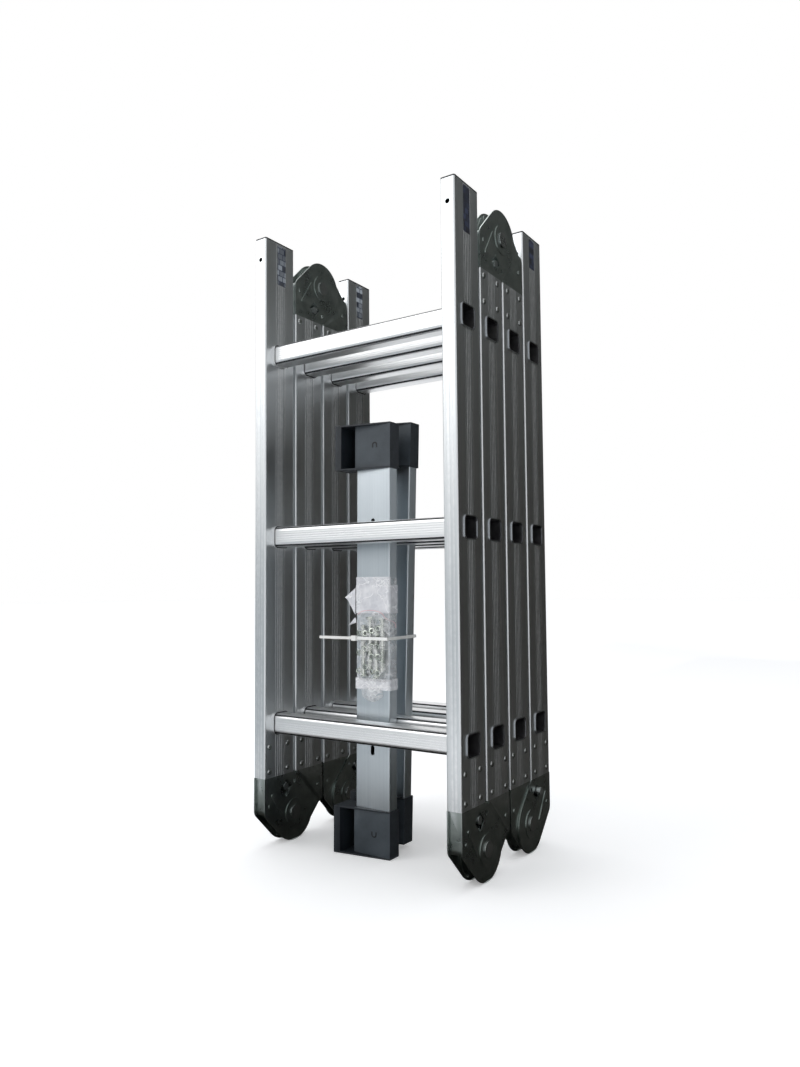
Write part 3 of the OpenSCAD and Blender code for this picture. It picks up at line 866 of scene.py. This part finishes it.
def add_bolt(name, across, low, way):
    """A hexagon-head bolt with a rolled thread and a nut run on to it, standing in the bag."""
    middle = on_front_bar(across, low, BOLT_OFF)

    def along(distance):
        return middle.z + distance if way > 0 else middle.z + BOLT_LENGTH - distance

    deselect()
    bpy.ops.mesh.primitive_cylinder_add(
        vertices=20, radius=SHANK_RADIUS, depth=BOLT_LENGTH - 0.002,
        location=(middle.x, middle.y, middle.z + BOLT_LENGTH / 2),
    )
    parts = [bpy.context.object]
    for start, thick in HEXAGONS:
        ends = sorted((along(start), along(start + thick)))
        deselect()
        bpy.ops.mesh.primitive_cylinder_add(
            vertices=6, radius=HEX_RADIUS, depth=ends[1] - ends[0],
            location=(middle.x, middle.y, sum(ends) / 2), rotation=(0, 0, 0.35 + 5 * across / 0.01),
        )
        parts.append(bpy.context.object)
        turn_corners(parts[-1], 0.0006)
    first, last = sorted((along(THREAD_START), along(BOLT_LENGTH - 0.001)))
    deselect()
    bpy.ops.mesh.primitive_cylinder_add(
        vertices=20, radius=THREAD_RADIUS, depth=last - first,
        location=(middle.x, middle.y, (first + last) / 2),
    )
    parts.append(bpy.context.object)
    bpy.ops.object.transform_apply(location=True, rotation=True, scale=True)
    cut_thread(parts[-1], middle, first, last)
    return finish_piece(joined(name, parts), ZINC, angle=30)


# Spare nuts that have slid between the bolts: across the bar, height, and how each is turned
LOOSE_NUTS = (
    (-0.0065, 0.2700, 0.3), (0.0050, 0.2850, 1.1), (0.0160, 0.2620, 0.7), (-0.0070, 0.2960, 0.1),
    (0.0155, 0.3000, 0.9), (0.0050, 0.3220, 0.5), (-0.0180, 0.2640, 0.2), (-0.0180, 0.2900, 1.0),
    (0.0160, 0.2850, 0.4), (0.0050, 0.2640, 0.8), (-0.0065, 0.3180, 0.6), (-0.0180, 0.3185, 0.9),
    (0.0160, 0.3260, 0.2), (0.0052, 0.3000, 0.1),
)
NUT_RADIUS, NUT_THICK, NUT_WALL = 0.0048, 0.0026, 0.0019
NUT_OFF = 0.0092


def add_loose_nut(name, across, z, turn):
    """A hexagon with a hole through it, tipped as it fell."""
    deselect()
    bpy.ops.mesh.primitive_cylinder_add(
        vertices=6, radius=NUT_RADIUS, depth=NUT_THICK, location=on_front_bar(across, z, NUT_OFF),
        rotation=(pi / 2 + 0.25 * sin(9 * turn), turn, 0.2 - turn / 3),
    )
    nut = bpy.context.object
    nut.name = name
    bpy.ops.object.mode_set(mode="EDIT")
    bpy.ops.mesh.select_mode(type="FACE")
    bpy.ops.mesh.select_all(action="DESELECT")
    bpy.ops.object.mode_set(mode="OBJECT")
    for face in nut.data.polygons:
        face.select = len(face.vertices) == 6
    bpy.ops.object.mode_set(mode="EDIT")
    bpy.ops.mesh.inset(thickness=NUT_WALL, depth=0)
    bpy.ops.mesh.bridge_edge_loops()
    bpy.ops.object.mode_set(mode="OBJECT")
    turn_corners(nut, 0.0003)
    finish_piece(nut, ZINC, angle=30)


add_bag()
add_tapes()
# Loose corners of film that stand out at the left
add_flap("film_flap", ((-0.0300, 0.3840), (-0.0300, 0.3445), (-0.0480, 0.3700)))
add_flap("film_tip", ((-0.0300, 0.3410), (-0.0280, 0.3335), (-0.0415, 0.3290)))
add_curl()
add_bag_stripe()
bolts = [add_bolt("bolt_%d" % (k + 1), *spot) for k, spot in enumerate(BOLTS)]
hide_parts("bolts")
for k, spot in enumerate(LOOSE_NUTS):
    add_loose_nut("loose_nut_%d" % (k + 1), *spot)


# ---------- labels near the free stile ends ----------

# The stile faces that carry labels, out from the ladder's middle, and the labels' upper edge, in metres
RIGHT_FACE, LEFT_FACE = 0.1770, -0.1550
LABEL_TOP = 0.9185


def add_label(name, x, front, back, low, material, body):
    """A sticker with rounded corners on a stile's face at x; it ends clear of the stile's edges."""
    deselect()
    middle = (x + 0.00006, (front + back) / 2, (low + LABEL_TOP) / 2)
    bpy.ops.mesh.primitive_cube_add(size=1, location=middle)
    label = bpy.context.object
    label.name = name
    label.scale = (0.00018, back - front, LABEL_TOP - low)
    bpy.ops.object.transform_apply(location=True, rotation=True, scale=True)
    bpy.ops.object.mode_set(mode="EDIT")
    bpy.ops.mesh.select_mode(type="EDGE")
    bpy.ops.mesh.select_all(action="DESELECT")
    bpy.ops.object.mode_set(mode="OBJECT")
    for edge in label.data.edges:
        a, b = (label.data.vertices[v].co for v in edge.vertices)
        edge.select = abs(a.x - b.x) > 0.0001
    bpy.ops.object.mode_set(mode="EDIT")
    bpy.ops.mesh.bevel(offset=0.0015, segments=4)
    bpy.ops.object.mode_set(mode="OBJECT")
    finish_piece(label, material, body=body, angle=30)


add_label("label_front_right", RIGHT_FACE, -0.1125, -0.0955, 0.8550, DARK_LABEL, "section_1")
add_label("label_back_right", RIGHT_FACE, 0.0935, 0.1115, 0.8730, DARK_LABEL, "section_4")
add_label("label_front_left", LEFT_FACE, -0.1100, -0.0910, 0.8560, BLOCK_LABEL, "section_1")
add_label("label_back_left", LEFT_FACE, 0.0955, 0.1125, 0.8610, BLOCK_LABEL, "section_4")


# ---------- studio ----------

def paint(name, colour):
    """A plain dull material."""
    material = bpy.data.materials.new(name)
    material.use_nodes = True
    shader = material.node_tree.nodes["Principled BSDF"]
    shader.inputs["Base Color"].default_value = (*colour, 1)
    shader.inputs["Roughness"].default_value = 0.85
    shader.inputs["Emission Color"].default_value = (*colour, 1)
    return material


# How strongly the floor glows to the camera and in the metal, where it has to look as white as the world
FLOOR_GLOW = 0.29


def white_paper():
    """Paper that looks white to the camera and in the metal, and keeps the object's shadow."""
    material = paint("floor_paper", (0.93, 0.93, 0.93))
    n, link = material.node_tree.nodes, material.node_tree.links.new
    path = n.new("ShaderNodeLightPath")
    seen = n.new("ShaderNodeMath")
    seen.operation = "MAXIMUM"
    level = n.new("ShaderNodeMath")
    level.operation = "MULTIPLY"
    level.inputs[1].default_value = FLOOR_GLOW
    link(path.outputs["Is Camera Ray"], seen.inputs[0])
    link(path.outputs["Is Glossy Ray"], seen.inputs[1])
    link(seen.outputs[0], level.inputs[0])
    link(level.outputs[0], n["Principled BSDF"].inputs["Emission Strength"])
    return material


def dark_cloth():
    """Black cloth, painted paler towards its top: painted light."""
    material = paint("black_cloth", (0.03, 0.03, 0.03))
    n, link = material.node_tree.nodes, material.node_tree.links.new
    place = n.new("ShaderNodeNewGeometry")
    split = n.new("ShaderNodeSeparateXYZ")
    rise = n.new("ShaderNodeMapRange")
    rise.inputs["From Min"].default_value = 0.9
    rise.inputs["From Max"].default_value = 2.3
    shade = n.new("ShaderNodeMix")
    shade.data_type = "RGBA"
    shade.inputs[6].default_value = (0.026, 0.024, 0.019, 1)
    shade.inputs[7].default_value = (0.105, 0.108, 0.102, 1)
    link(place.outputs["Position"], split.inputs[0])
    link(split.outputs["Z"], rise.inputs["Value"])
    link(rise.outputs["Result"], shade.inputs[0])
    link(shade.outputs[2], n["Principled BSDF"].inputs["Base Color"])
    return material


def add_panel(name, place, size, towards, material):
    """A flat panel that faces a point."""
    bpy.ops.mesh.primitive_plane_add(size=1, location=place)
    panel = bpy.context.object
    panel.name = name
    panel.scale = (size[0], size[1], 1)
    panel.rotation_euler = (Vector(towards) - Vector(place)).to_track_quat("Z", "Y").to_euler()
    panel.data.materials.append(material)
    return panel


def add_studio():
    deselect()
    bpy.ops.mesh.primitive_plane_add(size=40, location=(0, 0, 0))
    floor = bpy.context.object
    floor.name = "floor"
    floor.data.materials.append(white_paper())

    # Cloths that show only in the metal and give it contrast: a black one stands behind on the right and one
    # lies before it, and two grey ones, one standing low and one lying, are in front on the left
    black, grey = dark_cloth(), paint("grey_cloth", (0.30, 0.34, 0.36))
    for name, place, size, towards, cloth in (
        ("cloth_behind", (1.6, 1.9, 1.6), (7.5, 4.6), (0.0, 0.0, 1.4), black),
        ("cloth_lying", (1.55, 1.55, 0.002), (3.9, 3.9), (1.55, 1.55, 5.0), black),
        ("cloth_low", (-2.1, -2.3, 0.05), (3.6, 1.3), (0.0, 0.0, 0.35), grey),
        ("cloth_front", (-1.35, -1.45, 0.002), (1.9, 1.9), (-1.35, -1.45, 5.0), grey),
    ):
        flag = add_panel(name, place, size, towards, cloth)
        flag.visible_camera = False
        flag.visible_diffuse = False
        flag.visible_shadow = False
        flag.visible_transmission = False

    for name, place, size, watts in (
        ("key", (-1.7, -2.3, 2.3), 2.0, 24),
        ("top", (-0.5, 0.3, 2.8), 1.6, 10),
    ):
        bpy.ops.object.light_add(type="AREA", location=place)
        lamp = bpy.context.object
        lamp.name = name
        lamp.data.energy = watts
        lamp.data.size = size
        lamp.rotation_euler = (Vector((0, 0, 0.45)) - Vector(place)).to_track_quat("-Z", "Y").to_euler()

    world = bpy.data.worlds.new("studio")
    bpy.context.scene.world = world
    world.use_nodes = True
    n, link = world.node_tree.nodes, world.node_tree.links.new
    n.clear()
    path = n.new("ShaderNodeLightPath")
    seen = n.new("ShaderNodeMath")
    seen.operation = "MAXIMUM"
    seen_too = n.new("ShaderNodeMath")
    seen_too.operation = "MAXIMUM"
    shown = n.new("ShaderNodeBackground")
    shown.inputs["Color"].default_value = (1, 1, 1, 1)
    lit = n.new("ShaderNodeBackground")
    lit.inputs["Color"].default_value = (0.95, 0.97, 1, 1)
    lit.inputs["Strength"].default_value = 0.8
    mix = n.new("ShaderNodeMixShader")
    out = n.new("ShaderNodeOutputWorld")
    link(path.outputs["Is Camera Ray"], seen.inputs[0])
    link(path.outputs["Is Glossy Ray"], seen.inputs[1])
    link(seen.outputs[0], seen_too.inputs[0])
    link(path.outputs["Is Transmission Ray"], seen_too.inputs[1])
    link(seen_too.outputs[0], mix.inputs[0])
    link(lit.outputs[0], mix.inputs[1])
    link(shown.outputs[0], mix.inputs[2])
    link(mix.outputs[0], out.inputs["Surface"])
    bpy.context.scene.view_settings.view_transform = "Standard"


add_studio()
